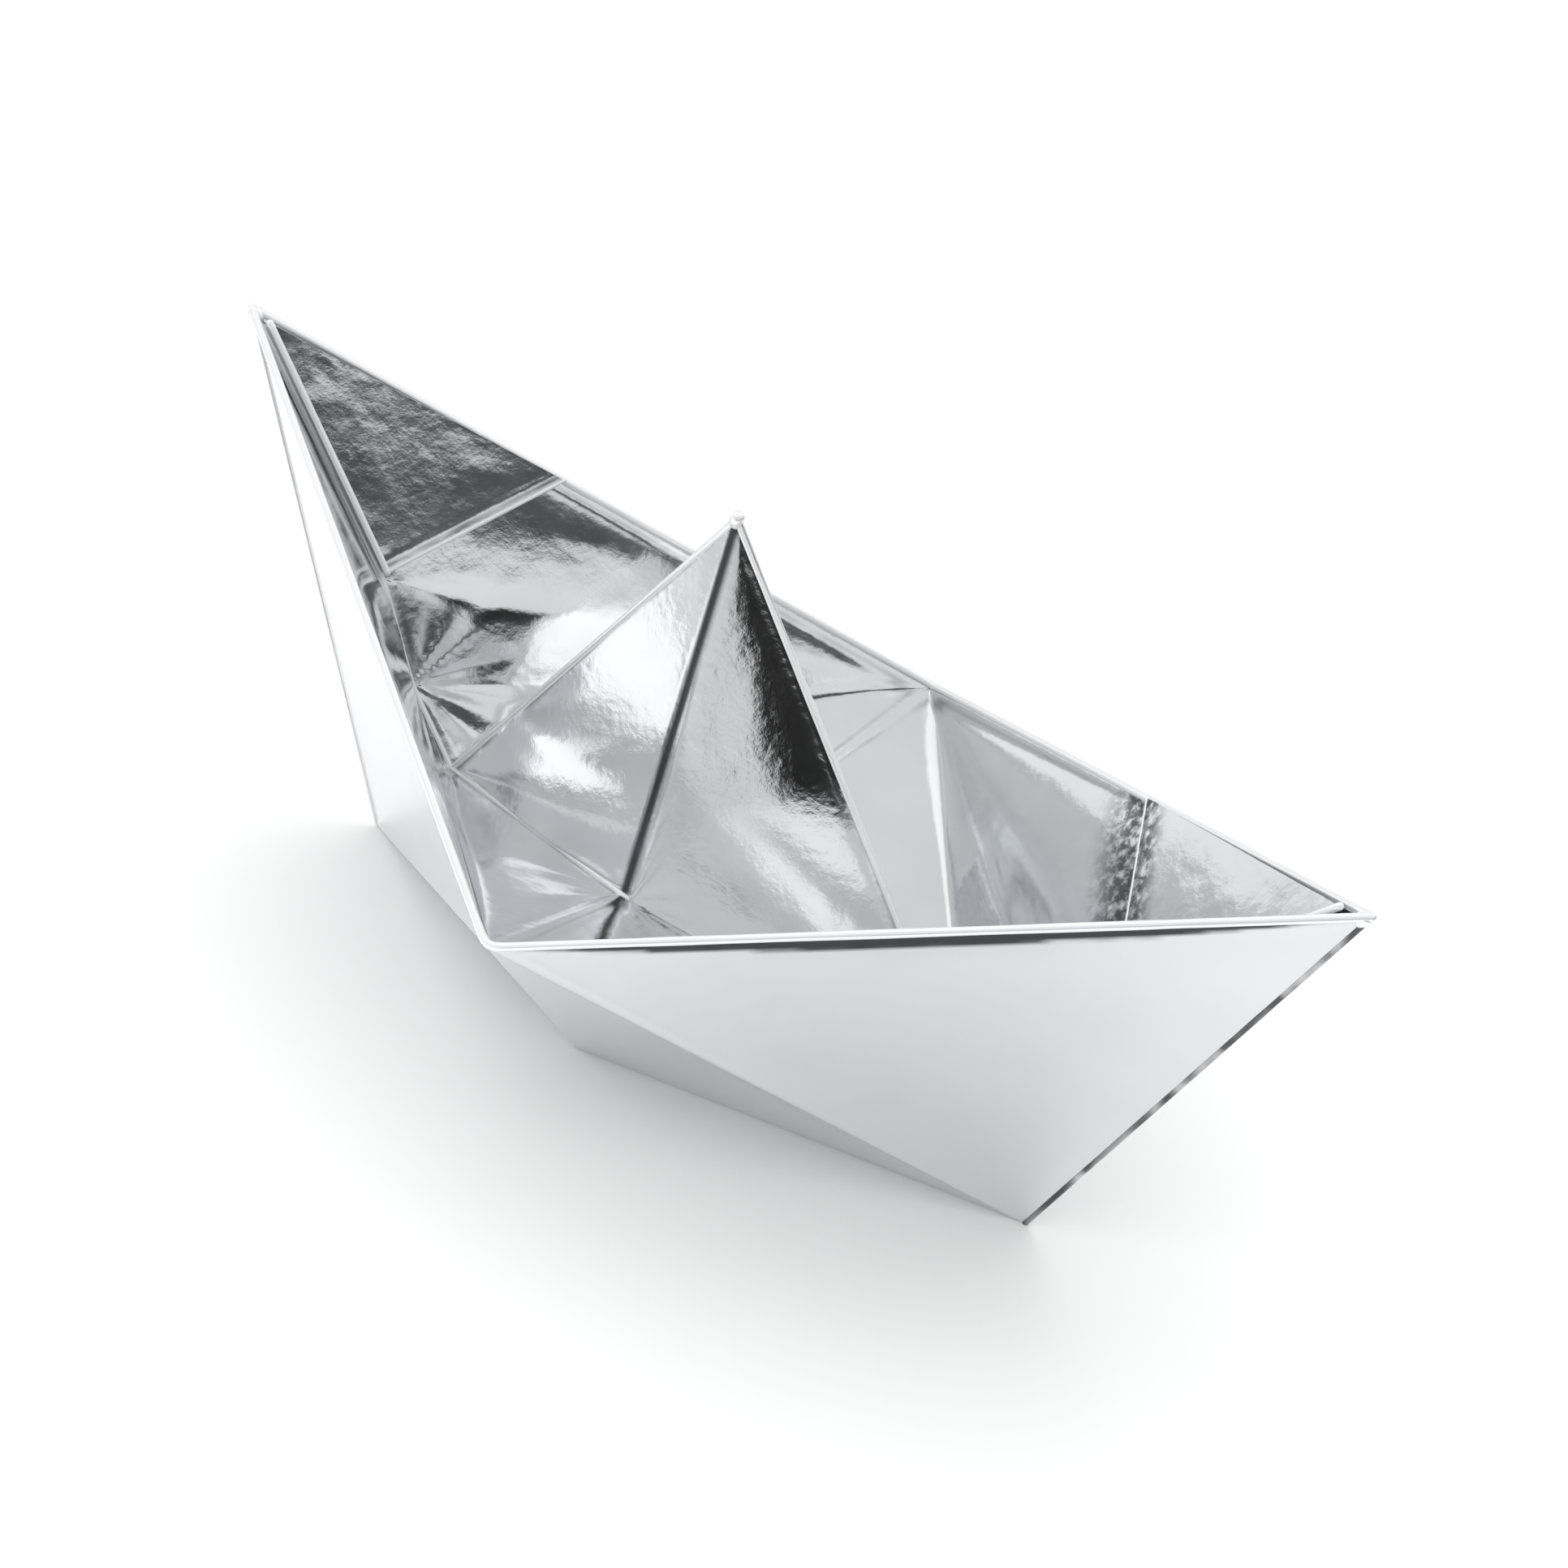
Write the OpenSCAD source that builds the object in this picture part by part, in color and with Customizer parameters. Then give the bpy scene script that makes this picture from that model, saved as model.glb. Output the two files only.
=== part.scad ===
// Boat folded from one sheet of mirror-foil card, in millimetres.
// +X points to the bow, +Y to port and +Z up. The origin is on the ground at the middle.
// Each flat facet between two creases is its own thin plate. The outer layer is the walls,
// the bottoms and the sail. The inner layer is the brim, folded in over the rim.

/* [Sheet] */
// Thickness of the foil card
sheet_t = 0.4; // [0.3:0.05:0.6]
// Clear space between the two layers at the rim
layer_gap = 0.4; // [0.3:0.05:0.8]
// Clear space at a crease between two facets
crease_gap = 0.3; // [0.2:0.05:0.5]
// Clear space between a tucked flap and the cuff that it lies on
flap_gap = 0.3; // [0.2:0.05:0.6]

/* [Hull] */
// Distance from the middle to the point of each tip
tip_x = 88; // [72:1:108]
// Height of the tips
tip_z = 67; // [55:1:82]
// Distance from the middle to each end of the keel
keel_x = 56.5; // [46:0.5:68]
// Distance from the centre plane to the rim, half way along
rim_y = 46.5; // [38:0.5:58]
// Height of the rim, half way along
rim_z = 34; // [28:0.5:42]

/* [Sail] */
// Height of the sail's apex
apex_z = 75; // [60:1:92]
// Shift of the apex towards the bow
apex_x = -6; // [-10:0.5:10]
// Distance from the centre plane to the side corners of the sail's foot
foot_y = 17; // [13:0.5:22]
// Shift of the foot's side corners towards the bow
foot_x = -5; // [-8:0.5:8]

/* [Inner layer] */
// Distance from the middle to the fork, where the tucked flap's raw edge meets the inner stem
fork_x = 62; // [56:0.5:72]
// Height of the fork
fork_z = 38; // [32:0.5:48]
// Distance from the middle to the lower end of the inner stem
well_x = 54; // [48:0.5:62]
// Height of the lower end of the inner stem
well_z = 24.5; // [18:0.5:30]
// Height at which the brim's raw edge meets the sail's end ridges
raw_end_z = 14; // [9:0.5:17]
// Height at which the brim's raw edge meets the sail's side ridges
raw_side_z = 21; // [17:0.5:27]
// Length of a tucked flap along the rim
tuck_len = 47.5; // [35:0.5:60]

/* [Hidden] */
$fn = 32;

// The two ends and the two sides of the boat, as signs of X and Y
stern = -1;
bow = 1;
starboard = -1;
port = 1;

// Facets run past the centre plane and the ground by this much, and are trimmed there
overrun = 3;
// Size of the trimming boxes
trim = 400;
// Half of a crease's clear space, taken off each facet beside it
crease = crease_gap / 2;
// Room beside a crease whose inner faces close on each other
closing_crease = crease + sheet_t / 2;
// Room beside the sharper crease between a well facet and a floor facet
sharp_crease = crease + 0.6 * (layer_gap + sheet_t);
// Room between the brim's raw edge and the sail
raw_clear = 2 * crease_gap + layer_gap + sheet_t;
// Distance of a tucked flap's hinge edge from the inner stem, which clears the other cuff
flap_hinge = 2 * (layer_gap + sheet_t) + flap_gap;
// Half of the rim fold's width
fold_r = layer_gap / 2 + sheet_t;

// Corners of the creased sheet
function tip(end) = [end * tip_x, 0, tip_z];
function keel(end) = [end * keel_x, 0, 0];
function rim_mid(side) = [0, side * rim_y, rim_z];
function foot(side) = [foot_x, side * foot_y, 0];
function fork(end) = [end * fork_x, 0, fork_z];
function well(end) = [end * well_x, 0, well_z];
apex = [apex_x, 0, apex_z];

// The sail's foot stands a crease's clear space inside the ground creases of the bottoms
ground = [keel(stern), foot(starboard), keel(bow), foot(port)];
sail_ground = inset(ground, [for (corner = ground) crease_gap]);
function sail_end(end) = sail_ground[end > 0 ? 2 : 0];
function sail_side(side) = sail_ground[side > 0 ? 3 : 1];

// Point at height z on the straight ridge from a corner of the sail's foot up to the apex
function on_ridge(corner, z) = corner + (apex - corner) * z / apex_z;
function raw_end(end) = on_ridge(sail_end(end), raw_end_z);
function raw_side(side) = on_ridge(sail_side(side), raw_side_z);
function cuff_corners(end, side) = [rim_mid(side), tip(end), fork(end), well(end)];
function tuck_end(end, side) = tip(end) + tuck_len * unit(rim_mid(side) - tip(end));

function unit(v) = v / norm(v);
function total(list, i = 0) = i == len(list) - 1 ? list[i] : list[i] + total(list, i + 1);

// Normal of a facet, by the right-hand rule around its corners
function normal(p) = unit(total([for (i = [1 : len(p) - 2]) cross(p[i] - p[0], p[i + 1] - p[0])]));

// Corners moved inwards, so that edge i, from corner i to the next, retreats by d[i]
function inset(p, d) = let (n = len(p)) [
    for (i = [0 : n - 1])
        let (
            next = unit(p[(i + 1) % n] - p[i]),
            last = unit(p[(i + n - 1) % n] - p[i])
        )
        p[i] + (d[i] * last + d[(i + n - 1) % n] * next) / norm(cross(next, last))
];

// A thin plate over the corners. Its faces lie at heights low and high above them, measured
// outwards from the hull. turn is 1 where the corners' own normal points outwards, or -1.
// A facet that lies on another one takes that one's normal as up.
module facet(corners, insets, low, high, turn, up = undef) {
    n = len(corners);
    normal = is_undef(up) ? normal(corners) : up;
    edge = inset(corners, insets);
    under = turn > 0 ? low : -high;
    over = turn > 0 ? high : -low;
    points = concat([for (p = edge) p + under * normal], [for (p = edge) p + over * normal]);
    lower_face = [for (i = [1 : n - 2]) [0, i, i + 1]];
    upper_face = [for (i = [1 : n - 2]) [n, n + i + 1, n + i]];
    sides = [for (i = [0 : n - 1]) [i, n + i, n + (i + 1) % n, (i + 1) % n]];
    polyhedron(points = points, faces = concat(lower_face, upper_face, sides));
}

// Keeps what lies above the ground on one side of the centre plane
module on_side(side) {
    intersection() {
        children();
        translate([-trim, side > 0 ? crease : -trim - crease, 0])
            cube([2 * trim, trim, trim]);
    }
}

// Keeps what lies towards one end of the boat
module towards(end) {
    intersection() {
        children();
        translate([end > 0 ? crease : -trim - crease, -trim, 0])
            cube([trim, 2 * trim, trim]);
    }
}

// Outer wall, from the stem to the crease that runs up from the keel to the rim
module wall(end, side) {
    color([0.90, 0.90, 0.91])
        on_side(side)
            facet([tip(end), keel(end), rim_mid(side)], [-overrun, crease, crease],
                0, sheet_t, end * side);
}

// Lower outer facet, from that crease down to the ground
module bottom(end, side) {
    color([0.70, 0.71, 0.73])
        on_side(side)
            facet([keel(end), foot(side), rim_mid(side)], [-overrun, crease, crease],
                0, sheet_t, end * side);
}

// One quarter of the sail, which stands inside the ground creases
module sail(end, side) {
    color([0.82, 0.83, 0.85])
        on_side(side)
            facet([sail_end(end), sail_side(side), apex], [-overrun, closing_crease, -overrun],
                -sheet_t, 0, end * side);
}

// Inner layer of a wall, from the rim down to the inner stem
module cuff(end, side) {
    color([0.62, 0.63, 0.65])
        on_side(side)
            facet(cuff_corners(end, side), [fold_r, 0, 0, closing_crease],
                -layer_gap - sheet_t, -layer_gap, end * side);
}

// Steep inner facet at the foot of the inner stem
module well_facet(end, side) {
    color([0.86, 0.86, 0.88])
        on_side(side)
            facet([rim_mid(side), well(end), raw_end(end)],
                [closing_crease, 0, sharp_crease],
                -layer_gap - sheet_t, -layer_gap, end * side);
}

// Inner facet that slopes down to the brim's raw edge beside the sail
module floor_facet(end, side) {
    color([0.93, 0.93, 0.94])
        on_side(side)
            facet([rim_mid(side), raw_end(end), raw_side(side)],
                [sharp_crease, raw_clear, closing_crease],
                -layer_gap - sheet_t, -layer_gap, end * side);
}

// Rounded fold of the rim, which joins a wall to its cuff
module rim(end, side) {
    start = tip(end);
    finish = rim_mid(side);
    out = end * side * normal([start, keel(end), finish]);
    along = unit(finish - start);
    up = cross(along, out) * (cross(along, out)[2] > 0 ? 1 : -1);
    axis = cross(out, up);
    middle = (start + finish) / 2 - out * layer_gap / 2;
    place = [for (i = [0 : 2]) [out[i], up[i], axis[i], middle[i]]];
    color([0.97, 0.97, 0.98])
        on_side(side) towards(end)
            multmatrix(concat(place, [[0, 0, 0, 1]]))
                linear_extrude(height = norm(finish - start) + 2 * overrun, center = true)
                    difference() {
                        circle(r = fold_r);
                        circle(r = layer_gap / 2);
                        translate([-2 * fold_r, -4 * fold_r])
                            square([4 * fold_r, 4 * fold_r]);
                    }
}

// Corner of the sheet that wraps round the stem and lies on the port cuff
module tuck_flap(end) {
    outer_face = -layer_gap - sheet_t - flap_gap;
    color([0.35, 0.36, 0.38])
        on_side(port)
            facet([tuck_end(end, port), tip(end), fork(end)], [fold_r, flap_hinge, 0],
                outer_face - sheet_t, outer_face, end * port, normal(cuff_corners(end, port)));
}

wall(stern, starboard);  // stern_starboard_wall
wall(stern, port);  // stern_port_wall
wall(bow, starboard);  // bow_starboard_wall
wall(bow, port);  // bow_port_wall
bottom(stern, starboard);  // stern_starboard_bottom
bottom(stern, port);  // stern_port_bottom
bottom(bow, starboard);  // bow_starboard_bottom
bottom(bow, port);  // bow_port_bottom
sail(stern, starboard);  // stern_starboard_sail
sail(stern, port);  // stern_port_sail
sail(bow, starboard);  // bow_starboard_sail
sail(bow, port);  // bow_port_sail
cuff(stern, starboard);  // stern_starboard_cuff
cuff(stern, port);  // stern_port_cuff
cuff(bow, starboard);  // bow_starboard_cuff
cuff(bow, port);  // bow_port_cuff
well_facet(stern, starboard);  // stern_starboard_well
well_facet(stern, port);  // stern_port_well
well_facet(bow, starboard);  // bow_starboard_well
well_facet(bow, port);  // bow_port_well
floor_facet(stern, starboard);  // stern_starboard_floor
floor_facet(stern, port);  // stern_port_floor
floor_facet(bow, starboard);  // bow_starboard_floor
floor_facet(bow, port);  // bow_port_floor
rim(stern, starboard);  // stern_starboard_rim
rim(stern, port);  // stern_port_rim
rim(bow, starboard);  // bow_starboard_rim
rim(bow, port);  // bow_port_rim
tuck_flap(stern);  // stern_tuck_flap
tuck_flap(bow);  // bow_tuck_flap
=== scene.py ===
import math
from collections import namedtuple

import bpy
import numpy as np
from mathutils import Matrix, Vector


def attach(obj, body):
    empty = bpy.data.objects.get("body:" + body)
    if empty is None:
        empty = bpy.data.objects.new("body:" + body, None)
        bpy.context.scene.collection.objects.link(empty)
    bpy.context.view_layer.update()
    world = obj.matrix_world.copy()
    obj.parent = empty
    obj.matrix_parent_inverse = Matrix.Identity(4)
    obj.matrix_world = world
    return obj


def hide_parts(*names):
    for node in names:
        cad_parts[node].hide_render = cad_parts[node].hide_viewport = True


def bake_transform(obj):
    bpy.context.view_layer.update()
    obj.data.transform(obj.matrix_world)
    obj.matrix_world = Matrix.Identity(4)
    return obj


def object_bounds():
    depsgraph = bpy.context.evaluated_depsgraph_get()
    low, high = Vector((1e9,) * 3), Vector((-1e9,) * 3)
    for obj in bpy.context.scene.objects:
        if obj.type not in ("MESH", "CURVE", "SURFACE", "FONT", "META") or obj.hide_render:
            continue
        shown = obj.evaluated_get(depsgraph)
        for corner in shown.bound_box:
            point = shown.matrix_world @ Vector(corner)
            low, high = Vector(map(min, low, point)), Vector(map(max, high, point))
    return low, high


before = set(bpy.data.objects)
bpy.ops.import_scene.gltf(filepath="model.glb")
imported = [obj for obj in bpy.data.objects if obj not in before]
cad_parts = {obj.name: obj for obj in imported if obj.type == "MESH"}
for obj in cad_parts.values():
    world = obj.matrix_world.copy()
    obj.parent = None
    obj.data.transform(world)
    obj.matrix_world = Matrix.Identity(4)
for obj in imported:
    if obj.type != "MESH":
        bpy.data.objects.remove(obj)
cad_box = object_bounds()

STERN, BOW = -1, 1
STARBOARD, PORT = -1, 1
ENDS, SIDES = (STERN, BOW), (STARBOARD, PORT)
END_NAME = {STERN: "stern", BOW: "bow"}
SIDE_NAME = {STARBOARD: "starboard", PORT: "port"}
MM = 0.001
HALF_LENGTH = (cad_box[1].x - cad_box[0].x) / 2

# Mesh of the card
CARD = 0.3 * MM            # thickness shown at a raw edge
ROWS = 64                  # rows of vertices across each facet
CROWDING = 1.7             # above 1, rows crowd towards the creases
ON_FACET = 0.02 * MM       # points this close to a facet's plane belong to it
WELD = 1e-7                # vertices closer than this are one
MAX_EXPONENT = 700         # exp() overflows a little above it
CREASE_REACH = 1.1 * MM    # how far from a crease the surface is rounded
CREASE_STEPS = 14
BEND_STEPS = 30            # smoothing steps for each millimetre of a bend's radius

# Places of the folds, measured from the corners of the CAD facets
APEX_UP = 1.5 * MM
TIP_OUT, TIP_UP = 0.3 * MM, 0.5 * MM
EDGE_OUT, EDGE_UP = 0.3 * MM, 0.25 * MM               # raw edge of the brim, from the sail's ridges
INSET = 0.62 * MM                                     # inner layer, from the middle of the rim
INSET_DROP_MID, INSET_DROP_TIP = 0.2 * MM, 0.4 * MM
# How far the three corners of a tucked corner stand off the cuff
LIFT_LOW, LIFT_OUT, LIFT_TOP = 0.85 * MM, 0.25 * MM, 0.2 * MM

# Radii of the rolled folds
RIM_R = 0.56 * MM
BRIM_EDGE_R = 0.42 * MM
STEM_R, INNER_STEM_R = 0.38 * MM, 0.5 * MM
RIDGE_R = 0.48 * MM
TUCK_FOLD_R, TUCK_EDGE_R = 0.5 * MM, 0.26 * MM
TIP_R, APEX_R = 0.95 * MM, 0.85 * MM

# Ends of the rolled folds
KNOB_BACK = (1.6 * MM, 0.8 * MM)        # both ends of a blunt point, back from the corner
RIDGE_FROM, RIDGE_TO = 2 * MM, 1.2 * MM     # above the table, and below the apex
TUCK_SHY = 1.1 * MM                     # between a tucked corner and the rim
TUCK_REACH = 0.3                        # how much of the way to the tip a tucked corner is drawn out
ROLL_LIFT_TOP, ROLL_LIFT_LOW = 0.25 * MM, 0.1 * MM

# Mesh of a rolled fold
TUBE_SIDES = 14
TUBE_STEP = 0.9 * MM
TUBE_WAVER, TUBE_SHADE = 5 * MM, 2.3 * MM     # lengths over which its width and its painted shade vary
CAP_ANGLES = [math.radians(a) for a in (80, 60, 40, 20)]

# Relief of the foil between the creases: size of its cells, and height
SWELL, SWELL_HEIGHT = 19 * MM, 0.10 * MM
CRUMPLE, CRUMPLE_HEIGHT = 7 * MM, 0.028 * MM
CRINKLE, CRINKLE_HEIGHT = 2.6 * MM, 0.010 * MM
CRAZING, CRAZING_HEIGHT = 2.2 * MM, 0.04 * MM
RELIEF_FROM, CURL_FROM = 3 * MM, 0.9 * MM             # the relief fades out this close to a crease
WRINKLES = 4.5                                        # cells of noise round a fan: more make more wrinkles

# Section across a crease: a raised bead, a groove beside it, and a painted shade line between them
BEAD_REACH, BEAD_HEIGHT = 0.5 * MM, 0.13 * MM
GROOVE_AT, GROOVE_REACH, GROOVE_DEPTH = 1.3 * MM, 0.5 * MM, 0.05 * MM
LINE_AT, LINE_REACH = 0.75 * MM, 0.26 * MM
RIPPLE, BREAKS = 4 * MM, 3.1 * MM                     # lengths over which the bead and the line vary
DARK_REACH = 0.80 * MM                                # half width of the painted dark line on a sail ridge
WORN_REACH = 2.2 * MM                                 # how far the foil is worn beside a crease

# Edge of a band of painted dark reflection
BAND_LEAST, BAND_RAGGED, BAND_SOFT = 0.25 * MM, 1.3 * MM, 0.07 * MM

# Features of one sheet. Corners a and b are the ends of an edge or a bend.
Bulge = namedtuple("Bulge", "middle radius height")       # a swelling of a facet
Fan = namedtuple("Fan", "middle reach height")            # wrinkles that radiate from a corner
Bend = namedtuple("Bend", "a b radius")                   # a rounded bend without a fold line
Band = namedtuple("Band", "a b width")                    # painted dark reflection, widest half-way along an edge
Streak = namedtuple("Streak", "a b reach")                # crazed relief, with painted dark reflection in speckles, that runs along an edge
Margin = namedtuple("Margin", "facet a b width height")   # a facet that curls down to one edge
Tuck = namedtuple("Tuck", "top low out face")             # three corners, and the way the flap faces


# ---- Corners of the creased sheet, read from the CAD facets ----

def facet_name(end, side, part):
    return f"{END_NAME[end]}_{SIDE_NAME[side]}_{part}"


def facet_names(sides, parts):
    """The CAD facets of some sides and parts, at both ends."""
    return [facet_name(end, side, part) for end in ENDS for side in sides for part in parts]


def furthest(node, way):
    """The vertex of a CAD node that lies furthest along a direction."""
    points = np.array([v.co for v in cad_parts[node].data.vertices], float)
    return points[np.argmax(points @ np.array(way, float))]


def end_corner(end, part, way):
    """A corner on the centre plane, where the port and starboard facets meet."""
    pair = [furthest(facet_name(end, side, part), way(side)) for side in SIDES]
    return np.mean(pair, axis=0) * [1, 0, 1]


def side_corner(side, part, way):
    """A corner at mid-length, where the stern and bow facets of one side meet."""
    return np.mean([furthest(facet_name(end, side, part), way(end)) for end in ENDS], axis=0)


# Each lambda gives the direction in which the wanted vertex lies furthest out on its facet
TIP = {e: end_corner(e, "wall", lambda s: (e, 0, 1)) + [TIP_OUT * e, 0, TIP_UP] for e in ENDS}
KEEL = {e: end_corner(e, "bottom", lambda s: (e, 0, -1)) for e in ENDS}
FORK = {e: end_corner(e, "cuff", lambda s: (-0.78 * e, -2 * s, 0.62)) for e in ENDS}
WELL = {e: end_corner(e, "cuff", lambda s: (0, -2 * s, -1)) for e in ENDS}
RIM_MID = {s: side_corner(s, "wall", lambda e: (0, s, 0)) for s in SIDES}
FOOT = {s: side_corner(s, "bottom", lambda e: (-e, 0, -1)) for s in SIDES}
APEX = side_corner(STARBOARD, "sail", lambda e: (0, 0, 1)) * [1, 0, 1] + [0, 0, APEX_UP]
SAIL_END = {e: end_corner(e, "sail", lambda s: (e, 0, -1)) for e in ENDS}
SAIL_SIDE = {s: side_corner(s, "sail", lambda e: (0, s, -1)) for s in SIDES}


def on_ridge(low, height):
    """The point at a height on the sail ridge that starts at its low end."""
    return low + (APEX - low) * (height - low[2]) / (APEX[2] - low[2])


# The raw edge of the brim lies against the sail, at the height of the CAD floor
RAW_END, RAW_SIDE = {}, {}
for e in ENDS:
    edge_height = end_corner(e, "floor", lambda s: (e, 0, 0))[2]
    RAW_END[e] = on_ridge(SAIL_END[e], edge_height) + [EDGE_OUT * e, 0, EDGE_UP]
for s in SIDES:
    edge_height = side_corner(s, "floor", lambda e: (-e, -s, 0))[2]
    RAW_SIDE[s] = on_ridge(SAIL_SIDE[s], edge_height) + [0, EDGE_OUT * s, EDGE_UP]


# ---- Noise and fades, all of them repeatable ----

def value_noise(p, seed):
    """Smooth noise from -1 to 1 at points p, with one cell per unit."""
    cell = np.floor(p).astype(np.int64)
    f = p - cell
    f = f * f * (3 - 2 * f)
    total = np.zeros(len(p))
    for dx in (0, 1):
        for dy in (0, 1):
            for dz in (0, 1):
                x, y, z = cell[:, 0] + dx, cell[:, 1] + dy, cell[:, 2] + dz
                # A hash of the cell's corner and the seed, from 0 to 65535
                h = (x * 374761393 + y * 668265263 + z * 1440662683 + seed * 97531) & 0x7FFFFFFF
                h = ((h ^ (h >> 13)) * 1274126177) & 0x7FFFFFFF
                h = (h ^ (h >> 16)) & 0xFFFF
                weight = (
                    (f[:, 0] if dx else 1 - f[:, 0])
                    * (f[:, 1] if dy else 1 - f[:, 1])
                    * (f[:, 2] if dz else 1 - f[:, 2])
                )
                total += weight * (h / 32767.5 - 1)
    return total


def ridged_noise(p, size, seed):
    """Noise with sharp ridges, as in crumpled foil, with cells of a size in metres."""
    return 1 - 2 * np.abs(value_noise(p / size, seed))


def fade(distance, reach, power=2):
    """1 at no distance, and falling off smoothly past the reach."""
    return np.exp(-(distance / reach) ** power)


# ---- Mesh making ----

def triangle_grid(a, b, c):
    """Points and faces that fill a triangle, crowded towards its edges."""
    index, points, faces = {}, [], []
    for i in range(ROWS + 1):
        for j in range(ROWS + 1 - i):
            k = ROWS - i - j
            share = np.array([i, j, k], float) ** CROWDING
            share /= share.sum()
            index[i, j] = len(points)
            points.append(share[0] * a + share[1] * b + share[2] * c)
    for i in range(ROWS):
        for j in range(ROWS - i):
            faces.append((index[i, j], index[i + 1, j], index[i, j + 1]))
            if j < ROWS - i - 1:
                faces.append((index[i + 1, j], index[i + 1, j + 1], index[i, j + 1]))
    return np.array(points), np.array(faces)


def facets(triangles):
    """One welded surface over several triangles of corners."""
    points, faces, count = [], [], 0
    for triangle in triangles:
        p, f = triangle_grid(*triangle)
        points.append(p)
        faces.append(f + count)
        count += len(p)
    points, faces = np.concatenate(points), np.concatenate(faces)
    keys = np.round(points / WELD).astype(np.int64)
    _, first, where = np.unique(keys, axis=0, return_index=True, return_inverse=True)
    faces = where.reshape(-1)[faces]
    a, b, c = faces.T
    return points[first], faces[(a != b) & (b != c) & (c != a)]


def vertex_normals(points, faces):
    """Unit normals of the vertices, averaged over the faces round each."""
    a, b, c = (points[faces[:, k]] for k in range(3))
    across = np.cross(b - a, c - a)
    normals = np.zeros_like(points)
    for k in range(3):
        for axis in range(3):
            normals[:, axis] += np.bincount(faces[:, k], across[:, axis], len(points))
    return normals / np.maximum(np.linalg.norm(normals, axis=1, keepdims=True), 1e-20)


def share_along(points, a, b):
    """How far along the segment a to b each point is, from 0 to 1."""
    return np.clip((points - a) @ (b - a) / ((b - a) @ (b - a)), 0, 1)


def distance_to(points, a, b):
    """Distance of each point from the segment a to b."""
    return np.linalg.norm(points - a - share_along(points, a, b)[:, None] * (b - a), axis=1)


def nearest_line(points, lines):
    return np.min([distance_to(points, a, b) for a, b in lines], axis=0)


def smooth_near(points, faces, near, steps):
    """Rounds the surface where near is above 0, by moving points towards their neighbours."""
    pairs = np.concatenate([faces[:, [0, 1]], faces[:, [1, 2]], faces[:, [2, 0]]])
    edges, uses = np.unique(np.sort(pairs, axis=1), axis=0, return_counts=True)
    on_border = np.zeros(len(points), bool)
    on_border[edges[uses == 1].ravel()] = True
    here, there = np.concatenate([edges, edges[:, ::-1]]).T
    degree = np.maximum(np.bincount(here, minlength=len(points)), 1)[:, None]
    pull = np.where(on_border, 0, near)[:, None] * 0.5
    for _ in range(steps):
        total = np.stack([np.bincount(here, points[there, k], len(points)) for k in range(3)], axis=1)
        points = points + pull * (total / degree - points)
    return points


def mesh_object(name, points, faces, fold, line, craze_and_shade=None):
    """A smooth-shaded object. fold, line and the crazing mask are stored on each vertex, for the material;
    line and the crazing mask carry painted shade and painted dark reflection.
    """
    mesh = bpy.data.meshes.new(name)
    mesh.from_pydata([tuple(p) for p in points], [], [tuple(int(i) for i in f) for f in faces])
    mesh.update()
    mesh.shade_smooth()
    craze_and_shade = np.zeros(len(points)) if craze_and_shade is None else craze_and_shade
    for kind, values in (("fold", fold), ("line", line), ("craze_and_shade", craze_and_shade)):
        attribute = mesh.attributes.new(kind, "FLOAT", "POINT")
        attribute.data.foreach_set("value", values.astype(np.float32))
    piece = bpy.data.objects.new(name, mesh)
    bpy.context.scene.collection.objects.link(piece)
    return piece


# ---- Creased sheets and rolled folds ----

def curl(points, outline, margins):
    """Height of the facets that curl down to one edge, over flat facets."""
    height = np.zeros(len(points))
    for margin in margins:
        a, b, c = margin.facet
        plane = np.cross(b - a, c - a)
        on_facet = np.abs((points - a) @ plane / np.linalg.norm(plane)) < ON_FACET
        along = share_along(points, margin.a, margin.b)
        reach = margin.width * (0.42 + 0.58 * np.sin(math.pi * along))
        inward = np.clip(distance_to(points, margin.a, margin.b) / reach, 0, 1)
        height += on_facet * margin.height * (reach / margin.width) * (1 - (1 - inward) ** 2)
    return height * (1 - fade(outline, CURL_FROM))


def relief(points, outline, seed, score_and_shade, bulges, fans):
    """Height of the foil's relief. outline is the distance from the nearest crease."""
    away = 1 - fade(outline, RELIEF_FROM)
    height = away * (
        SWELL_HEIGHT * value_noise(points / SWELL, seed)
        + CRUMPLE_HEIGHT * ridged_noise(points, CRUMPLE, seed + 1)
        + CRINKLE_HEIGHT * ridged_noise(points, CRINKLE, seed + 2)
    )
    for bulge in bulges:
        height += away * bulge.height * fade(np.linalg.norm(points - bulge.middle, axis=1), bulge.radius)
    for fan in fans:
        spoke = points - fan.middle
        length = np.linalg.norm(spoke, axis=1)
        wrinkle = value_noise(spoke / np.maximum(length, 1e-6)[:, None] * WRINKLES, seed + 9)
        out = length / fan.reach
        height += fan.height * wrinkle * out * np.exp(1 - out ** 1.3) * (0.25 + 0.75 * away)
    ripple = 0.5 + 0.5 * value_noise(points / RIPPLE, seed + 3)
    height += BEAD_HEIGHT * (0.3 + 0.7 * score_and_shade) * (0.6 + 0.4 * ripple) * fade(outline, BEAD_REACH)
    height -= GROOVE_DEPTH * fade(outline - GROOVE_AT, GROOVE_REACH)
    return height


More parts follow.
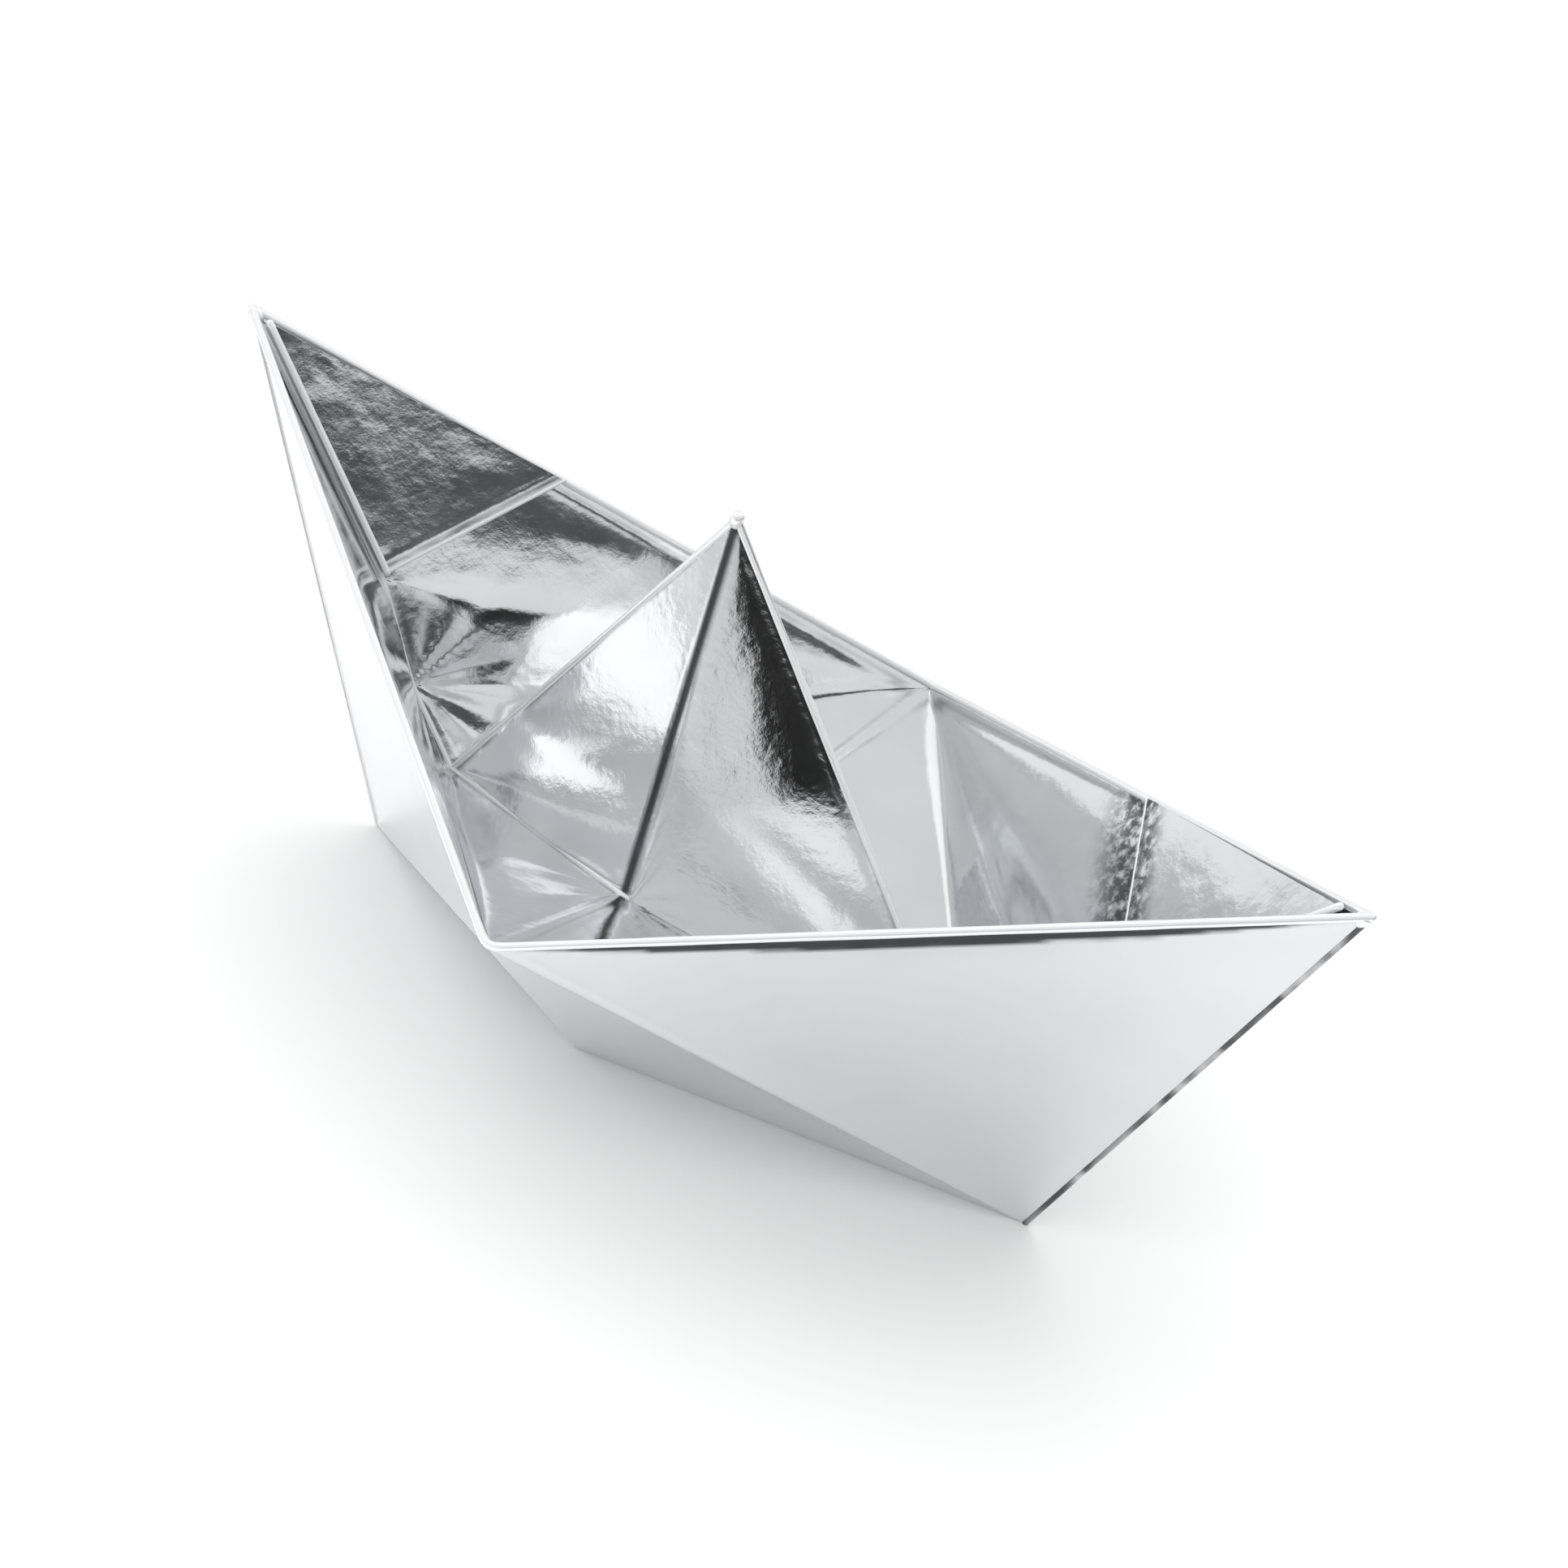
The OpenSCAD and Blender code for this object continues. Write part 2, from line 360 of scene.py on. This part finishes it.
def painted_shade(points, outline, seed, score_and_shade, dark, bands):
    """How much painted shade and painted dark reflection the foil gets, from 0 to 1: lines beside the
    creases, lines along the dark ridges, and bands.
    """
    breaks = 0.55 + 0.45 * value_noise(points / BREAKS, seed + 5)
    # A painted shade line beside each crease, broken by noise
    line = score_and_shade * breaks * fade(outline - LINE_AT, LINE_REACH)
    if dark:
        line = np.maximum(line, 0.95 * fade(nearest_line(points, dark), DARK_REACH, power=4))
    for band in bands:
        along = share_along(points, band.a, band.b)
        ragged = 1 + 0.16 * value_noise(points / BAND_RAGGED, seed + 6)
        strip = band.width * ragged * np.sin(math.pi * along) ** 0.8 + BAND_LEAST
        past = (distance_to(points, band.a, band.b) - strip) / BAND_SOFT
        line = np.maximum(line, 0.97 * (1 / (1 + np.exp(np.minimum(past, MAX_EXPONENT)))))
    return line


def card_surface(name, triangles, creases, seed, score_and_shade=1, dark=(),
                 bulges=(), fans=(), bends=(), bands=(), streaks=(), margins=()):
    """A creased sheet of foil card.

    creases: pairs of corners with a fold line; the scoring strength sets their raised beads and the
    painted shade lines beside them.
    dark: pairs of corners along which a dark line is painted, as painted shade and painted dark
    reflection.
    """
    points, faces = facets(triangles)
    outline = nearest_line(points, creases)
    curled = curl(points, outline, margins)
    for bend in bends:
        near = fade(distance_to(points, bend.a, bend.b), bend.radius) * (1 - fade(outline, 2 * MM))
        points = smooth_near(points, faces, near, int(BEND_STEPS * bend.radius / MM))
    points = smooth_near(points, faces, fade(outline, CREASE_REACH), CREASE_STEPS)
    height = relief(points, outline, seed, score_and_shade, bulges, fans)
    line = painted_shade(points, outline, seed, score_and_shade, dark, bands)
    # Streaks: crazed relief here, and speckled painted dark reflection in the material
    craze_and_shade = np.zeros(len(points))
    for streak in streaks:
        craze_and_shade = np.maximum(craze_and_shade, fade(distance_to(points, streak.a, streak.b), streak.reach, power=4))
    height += craze_and_shade * CRAZING_HEIGHT * value_noise(points / CRAZING, seed + 8)
    points = points + vertex_normals(points, faces) * (height + curled)[:, None]
    piece = mesh_object(name, points, faces, fade(outline, WORN_REACH, power=1), line, craze_and_shade)
    thick = piece.modifiers.new("card", "SOLIDIFY")
    thick.thickness = CARD
    thick.offset = -1
    return piece


def tube(name, path, radius, seed, waver=0.06, line=0.0):
    """A rolled fold along a path, round at both ends. line is how much painted shade its foil gets."""
    rings = []
    for a, b in zip(path[:-1], path[1:]):
        steps = max(2, int(np.linalg.norm(b - a) / TUBE_STEP))
        rings += [a + (b - a) * i / steps for i in range(steps)]
    rings = np.array(rings + [path[-1]])
    for _ in range(3):
        rings[1:-1] = (rings[:-2] + 2 * rings[1:-1] + rings[2:]) / 4
    run = np.gradient(rings, axis=0)
    run /= np.linalg.norm(run, axis=1, keepdims=True)
    side = np.cross(run, [0, 0, 1.0])
    side /= np.linalg.norm(side, axis=1, keepdims=True)
    up = np.cross(side, run)
    # Smaller rings before the first and after the last make the round ends
    last = len(rings) - 1
    rows = [(rings[0] - run[0] * radius * math.sin(a), math.cos(a), 0) for a in CAP_ANGLES]
    rows += [(rings[i], 1.0, i) for i in range(len(rings))]
    rows += [(rings[-1] + run[-1] * radius * math.sin(a), math.cos(a), last) for a in CAP_ANGLES[::-1]]
    wander = 1 + waver * value_noise(np.array([centre for centre, _, _ in rows]) / TUBE_WAVER, seed)
    points = []
    for (centre, scale, i), width in zip(rows, wander):
        for k in range(TUBE_SIDES):
            a = 2 * math.pi * k / TUBE_SIDES
            points.append(centre + radius * scale * width * (math.cos(a) * side[i] + math.sin(a) * up[i]))
    faces = []
    for r in range(len(rows) - 1):
        low, high = r * TUBE_SIDES, (r + 1) * TUBE_SIDES
        for k in range(TUBE_SIDES):
            after = (k + 1) % TUBE_SIDES
            faces.append((low + k, low + after, high + after, high + k))
    top = (len(rows) - 1) * TUBE_SIDES
    faces += [tuple(range(TUBE_SIDES))[::-1], tuple(range(top, top + TUBE_SIDES))]
    points = np.array(points)
    dark = line * np.clip(0.75 + 0.6 * value_noise(points / TUBE_SHADE, seed + 2), 0, 1)
    return mesh_object(name, points, faces, np.ones(len(points)), dark)


# ---- Foil materials ----

# Colour of the painted shade and painted dark reflections on the foil
PAINTED_SHADE_TINT = (0.04, 0.042, 0.045)
CRINKLE_DEPTH = 0.05 * MM


def math_node(tree, kind, *values):
    """A Math node. Each value is a number or an output of another node."""
    node = tree.nodes.new("ShaderNodeMath")
    node.operation = kind
    for socket, value in zip(node.inputs, values):
        if isinstance(value, (int, float)):
            socket.default_value = value
        else:
            tree.links.new(value, socket)
    return node.outputs[0]


def map_range(tree, value, low, high, start, stop, curve="LINEAR"):
    """Takes low to start and high to stop."""
    node = tree.nodes.new("ShaderNodeMapRange")
    node.interpolation_type = curve
    for key, number in (("From Min", low), ("From Max", high), ("To Min", start), ("To Max", stop)):
        node.inputs[key].default_value = number
    tree.links.new(value, node.inputs["Value"])
    return node.outputs[0]


def foil(name, tint, roughness, crinkle, patchy, metal=1.0):
    """Mirror foil laminated on card: metal with a fine crinkle and duller at the folds, with painted shade
    and painted dark reflections in its colour.

    Scales are in cells per metre.
    """
    material = bpy.data.materials.new(name)
    material.use_nodes = True
    tree = material.node_tree
    nodes, links = tree.nodes, tree.links
    shader = nodes["Principled BSDF"]
    shader.inputs["Metallic"].default_value = metal
    place = nodes.new("ShaderNodeTexCoord").outputs["Object"]

    def noise(scale, detail, rough=0.5):
        texture = nodes.new("ShaderNodeTexNoise")
        texture.inputs["Scale"].default_value = scale
        texture.inputs["Detail"].default_value = detail
        texture.inputs["Roughness"].default_value = rough
        links.new(place, texture.inputs["Vector"])
        return texture.outputs["Fac"]

    def stored(kind):
        attribute = nodes.new("ShaderNodeAttribute")
        attribute.attribute_name = kind
        return attribute.outputs["Fac"]

    fold, line, craze_and_shade = stored("fold"), stored("line"), stored("craze_and_shade")

    # Tint with faint patches, darkened by the painted shade lines and by speckled painted dark reflection
    patches = nodes.new("ShaderNodeValToRGB")
    dull_end, clear_end = patches.color_ramp.elements
    dull_end.position, clear_end.position = 0.35, 0.65
    dull_end.color = (*[c * (1 - patchy) for c in tint], 1)
    clear_end.color = (*tint, 1)
    links.new(noise(70, 4), patches.inputs["Fac"])
    # Speckles of painted dark reflection where the streaks lie
    shade_speckle = map_range(tree, noise(620, 6, 0.65), 0.38, 0.56, 0.0, 0.9)
    speckled_shade = math_node(tree, "MULTIPLY", shade_speckle, craze_and_shade)
    mix = nodes.new("ShaderNodeMix")
    mix.data_type = "RGBA"
    clear, dark = [i for i in mix.inputs if i.type == "RGBA"]
    dark.default_value = (*PAINTED_SHADE_TINT, 1)
    links.new(patches.outputs["Color"], clear)
    links.new(math_node(tree, "MAXIMUM", line, speckled_shade), mix.inputs["Factor"])
    links.new([o for o in mix.outputs if o.type == "RGBA"][0], shader.inputs["Base Color"])

    # Smears, and wear beside the folds
    smears = math_node(tree, "MULTIPLY", noise(160, 5, 0.6), 0.10)
    worn = math_node(tree, "MULTIPLY", fold, 0.07)
    rough = math_node(tree, "ADD", math_node(tree, "ADD", smears, worn), roughness)
    links.new(rough, shader.inputs["Roughness"])

    # Fine crinkle, with more grain at the folds
    grain = nodes.new("ShaderNodeTexVoronoi")
    grain.feature = "SMOOTH_F1"
    grain.inputs["Scale"].default_value = 900
    links.new(place, grain.inputs["Vector"])
    grain_height = math_node(tree, "ADD", math_node(tree, "MULTIPLY", fold, 0.8), 0.25)
    fine = math_node(tree, "MULTIPLY", grain.outputs["Distance"], grain_height)
    coarse = math_node(tree, "MULTIPLY", noise(340, 6, 0.62), 1.6)
    bump = nodes.new("ShaderNodeBump")
    bump.inputs["Strength"].default_value = crinkle
    bump.inputs["Distance"].default_value = CRINKLE_DEPTH
    links.new(math_node(tree, "ADD", fine, coarse), bump.inputs["Height"])
    links.new(bump.outputs["Normal"], shader.inputs["Normal"])
    return material


OUTSIDE = foil("foil_outside", (0.80, 0.812, 0.825), roughness=0.10, crinkle=0.22, patchy=0.03)
SAIL = foil("foil_sail", (0.86, 0.868, 0.875), roughness=0.035, crinkle=0.75, patchy=0.05)
INSIDE = foil("foil_inside", (0.86, 0.872, 0.885), roughness=0.045, crinkle=0.42, patchy=0.06)
FOLD = foil("foil_fold", (0.94, 0.94, 0.945), roughness=0.08, crinkle=0.30, patchy=0.03, metal=0.45)


def finish_piece(piece, material):
    """Gives a piece its material."""
    piece.data.materials.append(material)


def side_bend(piece):
    """Bakes the piece's transform into its mesh."""
    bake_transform(piece)


def wind(side, end, a, b, c):
    """Puts a triangle's corners in the order that makes its normal point outwards."""
    return (a, b, c) if end * side > 0 else (a, c, b)


# ---- Hull ----

def outer_hull(side):
    """Walls and bottoms of one side, as one creased sheet."""
    mid, foot = RIM_MID[side], FOOT[side]
    triangles, creases, bulges = [], [(foot, mid)], []
    for end in ENDS:
        tip, keel = TIP[end], KEEL[end]
        triangles += [wind(side, end, tip, keel, mid), wind(side, end, keel, foot, mid)]
        creases += [(keel, mid), (tip, keel), (tip, mid), (keel, foot)]
        bulges += [Bulge((tip + keel + mid) / 3, 24 * MM, -0.5 * MM),
                   Bulge((keel + foot + mid) / 3, 14 * MM, -0.2 * MM)]
    # Painted dark reflection below the rim, wide on the bow half and narrow on the stern half
    bands = [Band(mid, TIP[BOW], 2.5 * MM), Band(mid, TIP[STERN], 0.5 * MM)]
    piece = card_surface(f"{SIDE_NAME[side]}_outer_card", triangles, creases, seed=11 + side, score_and_shade=0,
                         bulges=bulges, bands=bands)
    finish_piece(piece, OUTSIDE)
    side_bend(piece)
    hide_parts(*facet_names([side], ["wall", "bottom"]))


def inner_hull(side):
    """Cuffs, well facets and floor facets of one side, as one creased sheet."""
    mid = RIM_MID[side] - [0, INSET * side, INSET_DROP_MID]
    raw_mid = RAW_SIDE[side]
    triangles, creases, bulges, bends = [], [(mid, raw_mid)], [], []
    fans = [Fan(WELL[end], 8 * MM, 0.26 * MM) for end in ENDS] + [Fan(raw_mid, 5 * MM, 0.25 * MM)]
    for end in ENDS:
        tip = TIP[end] - [INSET * end, 0, INSET_DROP_TIP]
        fork, well, raw = FORK[end], WELL[end], RAW_END[end]
        for a, b in ((tip, fork), (fork, well), (well, raw), (raw, raw_mid)):
            triangles.append(wind(side, end, mid, a, b)[::-1])
            creases.append((a, b))
        creases.append((mid, tip))
        bulges += [Bulge((mid + tip + fork) / 3, 17 * MM, 0.35 * MM),
                   Bulge((mid + 2 * well) / 3, 12 * MM, -0.5 * MM),
                   Bulge((mid + raw + raw_mid) / 3, 9 * MM, 0.3 * MM)]
        bends += [Bend(mid, fork, 9 * MM), Bend(mid, well, 2.5 * MM), Bend(mid, raw, 2 * MM)]
    streaks = []
    # A streak on the port cuff at the bow gives crazed relief and a painted dark reflection
    if side == PORT:
        tuck = tuck_corners(BOW)
        streaks.append(Streak(tuck.low, tuck.out, 7 * MM))
    piece = card_surface(f"{SIDE_NAME[side]}_inner_card", triangles, creases, seed=31 + side, score_and_shade=0.4,
                         bulges=bulges, bends=bends, fans=fans, streaks=streaks)
    finish_piece(piece, INSIDE)
    side_bend(piece)
    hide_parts(*facet_names([side], ["cuff", "well", "floor"]))


def brim_edge(side):
    """The raw edge of the brim, against the foot of the sail."""
    path = [RAW_END[STERN], RAW_SIDE[side], RAW_END[BOW]]
    piece = tube(f"{SIDE_NAME[side]}_brim_edge", path, BRIM_EDGE_R, seed=5)
    finish_piece(piece, FOLD)
    side_bend(piece)


def rolled_rim(side):
    """The fold between the walls and the cuffs of one side."""
    path = [TIP[STERN], RIM_MID[side], TIP[BOW]]
    piece = tube(f"{SIDE_NAME[side]}_rolled_rim", path, RIM_R, seed=7 + side)
    finish_piece(piece, FOLD)
    side_bend(piece)
    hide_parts(*facet_names([side], ["rim"]))


def stem_folds(end):
    """Folds on the centre plane, where the two sides of the sheet are joined."""
    name = END_NAME[end]
    inner_path = [TIP[end], FORK[end], WELL[end], RAW_END[end]]
    # The bow's stem fold gets a painted dark reflection along it
    outer = tube(f"{name}_stem_fold", [TIP[end], KEEL[end]], STEM_R, seed=17,
                 line=0.95 if end == BOW else 0.0)
    inner = tube(f"{name}_inner_stem_fold", inner_path, INNER_STEM_R, seed=19)
    for piece in (outer, inner):
        finish_piece(piece, FOLD)
        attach(piece, "sail")


def knob(name, centre, run, radius):
    """The small blunt point where the rolled folds of a corner meet."""
    run = np.array(run) / np.linalg.norm(run)
    piece = tube(name, [centre - run * back for back in KNOB_BACK], radius, seed=29, waver=0.15)
    finish_piece(piece, FOLD)
    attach(piece, "sail")


# ---- Sail ----

def sail():
    """The four sail facets, as one creased sheet."""
    triangles, creases, bulges = [], [], []
    for end in ENDS:
        for side in SIDES:
            corners = (SAIL_END[end], SAIL_SIDE[side], APEX)
            triangles.append(wind(side, end, *corners))
            creases.append((SAIL_END[end], SAIL_SIDE[side]))
            middle = np.mean(corners, axis=0)
            if end == BOW:
                bulges.append(Bulge(middle * 0.8 + SAIL_SIDE[side] * 0.2, 15 * MM, 0.35 * MM))
            else:
                bulges.append(Bulge(middle, 15 * MM, 0.5 * MM))
        creases.append((SAIL_END[end], APEX))
    side_ridges = [(SAIL_SIDE[side], APEX) for side in SIDES]
    near_facet = (SAIL_END[BOW], SAIL_SIDE[STARBOARD], APEX)
    margin = Margin(near_facet, SAIL_END[BOW], APEX, 11 * MM, 1.0 * MM)
    # Dark lines are painted along the side ridges, as painted shade and painted dark reflection
    piece = card_surface("sail_card", triangles, creases + side_ridges, seed=51, score_and_shade=0.8,
                         dark=side_ridges, bulges=bulges, margins=[margin])
    finish_piece(piece, SAIL)
    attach(piece, "sail")
    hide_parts(*facet_names(SIDES, ["sail"]))


def sail_ridge(end):
    """The fold on the sail's ridge at one end."""
    path = [on_ridge(SAIL_END[end], RIDGE_FROM), APEX - [0, 0, RIDGE_TO]]
    piece = tube(f"{END_NAME[end]}_sail_ridge_fold", path, RIDGE_R, seed=23)
    finish_piece(piece, FOLD)
    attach(piece, "sail")


# ---- Tucked corners ----

def tuck_corners(end):
    """The tucked corner's two ends on the stem side, and its far corner on the rim."""
    node = f"{END_NAME[end]}_tuck_flap"
    top = furthest(node, (0.6 * end, -0.6, 1))
    low = furthest(node, (0, -0.3, -1))
    out = furthest(node, (0, 1, 0))
    face = np.cross(low - out, top - out) * end
    face /= np.linalg.norm(face)
    # The far corner stops short of the rim, and the top one reaches towards the tip
    rim = (TIP[end] - RIM_MID[PORT]) / np.linalg.norm(TIP[end] - RIM_MID[PORT])
    shy = RIM_MID[PORT] - out
    shy -= (shy @ rim) * rim + (shy @ face) * face
    out = out + shy / np.linalg.norm(shy) * TUCK_SHY
    reach = (TIP[end] - top) * TUCK_REACH
    top = top + reach - (reach @ face) * face
    return Tuck(top, low, out, face)


def tuck_flap(end):
    """The tucked corner of the sheet on the port cuff, with its fold and its raw edge."""
    name = END_NAME[end]
    tuck = tuck_corners(end)
    low = tuck.low + tuck.face * LIFT_LOW
    out = tuck.out + tuck.face * LIFT_OUT
    top = tuck.top + tuck.face * LIFT_TOP
    bulge = Bulge((top + low + out) / 3, 9 * MM, 0.12 * MM)
    # On the bow flap a streak gives crazed relief and a painted dark reflection along the raw edge
    card = card_surface(f"{name}_tucked_corner", [wind(PORT, end, out, top, low)], [(low, out)],
                        seed=71 + end, bulges=[bulge],
                        streaks=[Streak(low, out, 3.5 * MM)] if end == BOW else [])
    finish_piece(card, INSIDE)
    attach(card, f"{name}_flap")
    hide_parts(f"{name}_tuck_flap")
    roll_path = [top + tuck.face * ROLL_LIFT_TOP, low + tuck.face * ROLL_LIFT_LOW]
    roll = tube(f"{name}_tuck_fold", roll_path, TUCK_FOLD_R, seed=37)
    edge = tube(f"{name}_tuck_edge", [low, out], TUCK_EDGE_R, seed=41)
    for piece in (roll, edge):
        finish_piece(piece, FOLD)
        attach(piece, f"{name}_flap")


for each_side in SIDES:
    outer_hull(each_side)
    inner_hull(each_side)
    brim_edge(each_side)
    rolled_rim(each_side)
for each_end in ENDS:
    stem_folds(each_end)
    knob(f"{END_NAME[each_end]}_tip_fold", TIP[each_end], (each_end * 0.75, 0, 0.66), TIP_R)
    tuck_flap(each_end)
sail()
for each_end in ENDS:
    sail_ridge(each_end)
knob("sail_tip_fold", APEX, (0.02, 0.01, 1), APEX_R)


# ---- Table ----

TABLE_RADIUS = 0.23
TABLE_RINGS, TABLE_SPOKES = 6, 96


def table():
    """A round white table top."""
    points = [(0, 0, 0)]
    for r in range(1, TABLE_RINGS + 1):
        reach = TABLE_RADIUS * (r / TABLE_RINGS) ** 1.5
        for k in range(TABLE_SPOKES):
            a = 2 * math.pi * k / TABLE_SPOKES
            points.append((reach * math.cos(a), reach * math.sin(a), 0))
    faces = [(0, 1 + k, 1 + (k + 1) % TABLE_SPOKES) for k in range(TABLE_SPOKES)]
    for r in range(TABLE_RINGS - 1):
        low, high = 1 + r * TABLE_SPOKES, 1 + (r + 1) * TABLE_SPOKES
        for k in range(TABLE_SPOKES):
            after = (k + 1) % TABLE_SPOKES
            faces.append((low + k, high + k, high + after, low + after))
    mesh = bpy.data.meshes.new("table")
    mesh.from_pydata(points, [], faces)
    piece = bpy.data.objects.new("table", mesh)
    bpy.context.scene.collection.objects.link(piece)
    material = bpy.data.materials.new("table")
    material.use_nodes = True
    shader = material.node_tree.nodes["Principled BSDF"]
    shader.inputs["Base Color"].default_value = (0.93, 0.93, 0.925, 1)
    shader.inputs["Roughness"].default_value = 0.9
    shader.inputs["Specular IOR Level"].default_value = 0.1
    mesh.materials.append(material)


# ---- Light, where 1 is plain white ----

SKY = 1.20                           # what the camera and the table see all round
SKY_FALL = 0.40                      # how much less of it reaches the table from +X, and more from -X
LIGHT_TINT = (0.985, 0.995, 1.0)
LAMP_PLACE = Vector((-0.25, 0.35, 0.9))
LAMP_SIZE, LAMP_POWER = 0.9, 1.2
WALLS, CEILING = 0.57, 0.75          # the grey studio that the foil reflects
GROUND_GLOW = 0.14                   # what its walls gain below the horizon
ROOM_DEPTH, PANEL_DEPTH = 0.975, 0.90    # how dark the dark room and the dark panel are

SoftBox = namedtuple("SoftBox", "way edge full light")    # edge and full are cosines from its middle
SOFT_BOXES = (
    SoftBox((0.12, 0.85, 0.51), 0.945, 0.968, 0.75),      # large, to port
    SoftBox((0.62, -0.74, 0.27), 0.955, 0.985, 0.22),     # low in front, beside the camera
    SoftBox((-0.70, 0.05, 0.71), 0.95, 0.98, 0.38),       # high over the stern
    SoftBox((0.06, 0.20, 0.98), 0.965, 0.985, 0.40),      # overhead
    SoftBox((-0.997, -0.02, 0.07), 0.93, 0.97, 0.34),     # low behind the stern
)


def overhead_lamp():
    """A large soft lamp, which the foil doesn't reflect."""
    data = bpy.data.lights.new("overhead", "AREA")
    data.shape = "RECTANGLE"
    data.size = data.size_y = LAMP_SIZE
    data.energy = LAMP_POWER
    lamp = bpy.data.objects.new("overhead", data)
    lamp.location = LAMP_PLACE
    lamp.rotation_euler = (-LAMP_PLACE).to_track_quat("-Z", "Y").to_euler()
    lamp.visible_glossy = False
    bpy.context.scene.collection.objects.link(lamp)


def surroundings():
    """A plain white sky, and a grey studio that shows only in the foil's reflections."""
    world = bpy.data.worlds.new("studio")
    bpy.context.scene.world = world
    world.use_nodes = True
    tree = world.node_tree
    split = tree.nodes.new("ShaderNodeSeparateXYZ")
    tree.links.new(tree.nodes.new("ShaderNodeTexCoord").outputs["Generated"], split.inputs[0])
    x, y, z = split.outputs

    def add(a, b):
        return math_node(tree, "ADD", a, b)

    def subtract(a, b):
        return math_node(tree, "SUBTRACT", a, b)

    def multiply(a, b):
        return math_node(tree, "MULTIPLY", a, b)

    def ramp(value, low, high, start, stop):
        return map_range(tree, value, low, high, start, stop, "SMOOTHSTEP")

    def band(low_start, low_end, high_start, high_end):
        """1 between two heights, with soft edges."""
        return multiply(ramp(z, low_start, low_end, 0.0, 1.0), ramp(z, high_start, high_end, 1.0, 0.0))

    def lobe(way, edge, full):
        """1 round a direction, with a soft edge."""
        parts = [multiply(axis, value) for axis, value in zip((x, y, z), way)]
        return ramp(add(add(parts[0], parts[1]), parts[2]), edge, full, 0.0, 1.0)

    # A dark room round the bow, up to a little above the horizon, and a dark panel high in front
    room = multiply(lobe((0.97, -0.25, 0), edge=0.305, full=0.335), band(-0.50, -0.40, 0.185, 0.225))
    panel = multiply(lobe((0.62, -0.78, 0), edge=0.54, full=0.62), band(0.512, 0.535, 0.64, 0.68))
    dark = math_node(tree, "MAXIMUM", multiply(room, ROOM_DEPTH), multiply(panel, PANEL_DEPTH))
    lit = add(ramp(z, -0.12, -0.02, GROUND_GLOW, 0.0), ramp(z, 0.30, 0.85, WALLS, CEILING))
    for box in SOFT_BOXES:
        lit = add(lit, multiply(lobe(box.way, box.edge, box.full), box.light))
    studio = multiply(lit, subtract(1.0, dark))

    rays = tree.nodes.new("ShaderNodeLightPath").outputs
    seen, glossy = rays["Is Camera Ray"], rays["Is Glossy Ray"]
    sky = subtract(SKY, multiply(x, multiply(subtract(1.0, seen), SKY_FALL)))
    level = add(multiply(subtract(1.0, glossy), sky), multiply(studio, glossy))
    shade = tree.nodes.new("ShaderNodeCombineColor")
    for socket, tint in zip(shade.inputs, LIGHT_TINT):
        tree.links.new(multiply(level, tint), socket)
    tree.links.new(shade.outputs[0], tree.nodes["Background"].inputs["Color"])


# ---- Camera, with lengths in half lengths of the boat ----

AZIMUTH, ELEVATION, ROLL = math.radians(31.5), math.radians(33.2), math.radians(11.2)
TARGET = Vector((0.061, 0.050, 0.436))
DISTANCE = 5.56
FOCAL_LENGTH, SENSOR_WIDTH = 88, 36    # millimetres


def camera():
    """A long lens from above the starboard bow, slightly tilted."""
    data = bpy.data.cameras.new("camera")
    data.sensor_width = SENSOR_WIDTH
    data.lens = FOCAL_LENGTH
    data.clip_start, data.clip_end = 0.01, 50
    level = math.cos(ELEVATION)
    back = Vector((math.sin(AZIMUTH) * level, -math.cos(AZIMUTH) * level, math.sin(ELEVATION)))
    right = (-back).cross(Vector((0, 0, 1))).normalized()
    up = right.cross(-back)
    across = math.cos(ROLL) * right + math.sin(ROLL) * up
    above = math.cos(ROLL) * up - math.sin(ROLL) * right
    turn = Matrix((across, above, back)).transposed().to_4x4()
    piece = bpy.data.objects.new("camera", data)
    piece.matrix_world = Matrix.Translation(TARGET * HALF_LENGTH + back * DISTANCE * HALF_LENGTH) @ turn
    bpy.context.scene.collection.objects.link(piece)
    bpy.context.scene.camera = piece


table()
overhead_lamp()
surroundings()
camera()
bpy.context.scene.view_settings.view_transform = "Standard"
